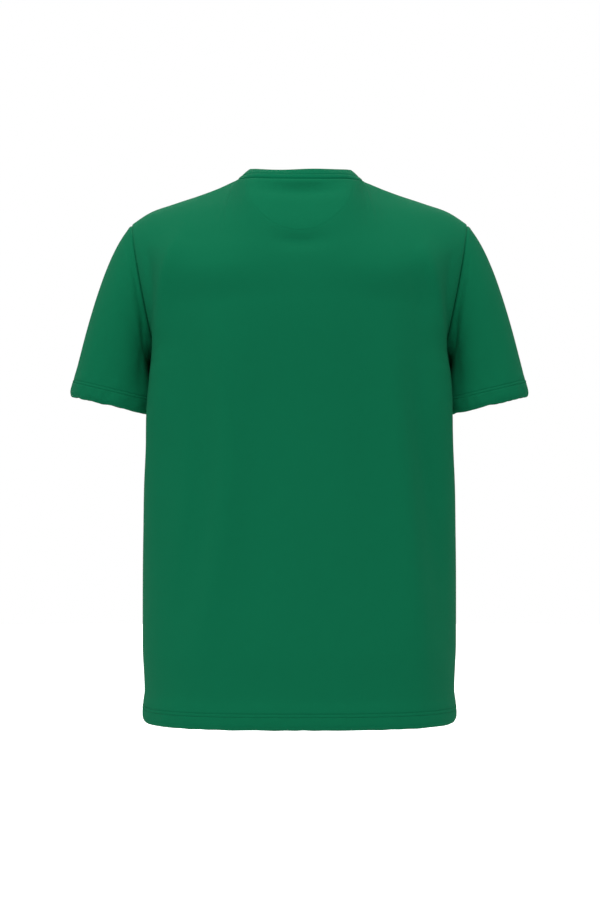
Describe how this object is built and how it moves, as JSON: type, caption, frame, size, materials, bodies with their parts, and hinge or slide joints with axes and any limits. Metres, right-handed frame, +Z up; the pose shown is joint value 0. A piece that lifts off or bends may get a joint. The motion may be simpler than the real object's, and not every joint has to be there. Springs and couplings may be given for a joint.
{
  "type": "t-shirt",
  "caption": "Plain short-sleeved crew-neck T-shirt in knitted jersey, in its worn form and hollow, with a ribbed neck band and open neck, cuffs and hem.",
  "frame": {"origin": "midway between the two high shoulder points, where the shoulder seams meet the neck seam and the T-shirt hangs on the wearer's shoulders", "axes": "+Z up the body, +Y out of the back, +X to the wearer's left; the front faces -Y"},
  "size_m": [0.5926, 0.2566, 0.7066],
  "materials": {
    "green_jersey": "plain knitted cotton jersey in mid green, matt with a faint soft sheen",
    "green_rib": "fine rib knit in the same green, matt"
  },
  "bodies": {
    "root": {"front_panel": "green_jersey", "back_panel": "green_jersey", "sleeve_left": "green_jersey", "sleeve_right": "green_jersey", "collar_band": "green_rib", "back_neck_patch": "green_jersey"}
  },
  "joints": []
}
